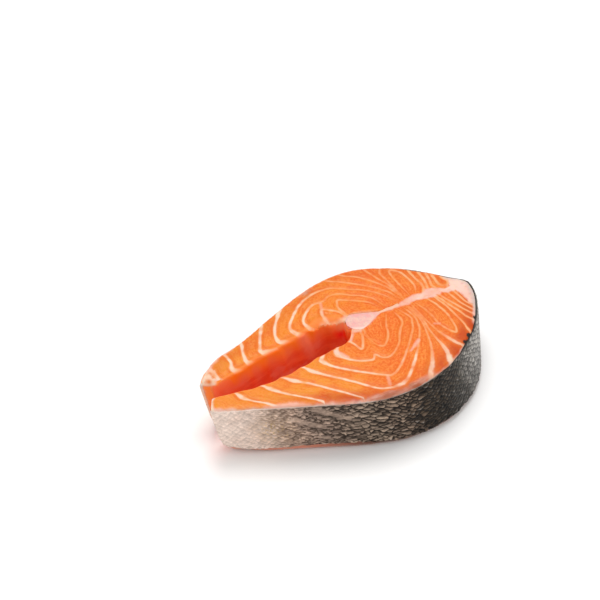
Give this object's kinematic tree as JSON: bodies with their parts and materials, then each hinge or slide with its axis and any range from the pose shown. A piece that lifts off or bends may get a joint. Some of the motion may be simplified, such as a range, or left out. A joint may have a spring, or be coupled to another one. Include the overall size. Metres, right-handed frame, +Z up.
{
  "type": "raw salmon steak",
  "caption": "Raw salmon steak: a thick slice cut across the fish with its skin on, the backbone in the middle and the belly cavity open, lying on a cut face.",
  "frame": {"origin": "middle of the bounding box, on the surface that the steak lies on", "axes": "+X towards the back of the fish, +Y towards the flank at the left when looking along +X, +Z up through the thickness of the slice"},
  "size_m": [0.1516, 0.0908, 0.028],
  "materials": {
    "flesh": "moist raw flesh with pale muscle lines",
    "skin": "moist scaled skin, pale at the belly and dark at the back",
    "bone": "moist translucent bone and gristle"
  },
  "bodies": {
    "root": {"flesh": "flesh", "skin": "skin", "backbone": "bone"}
  },
  "joints": []
}
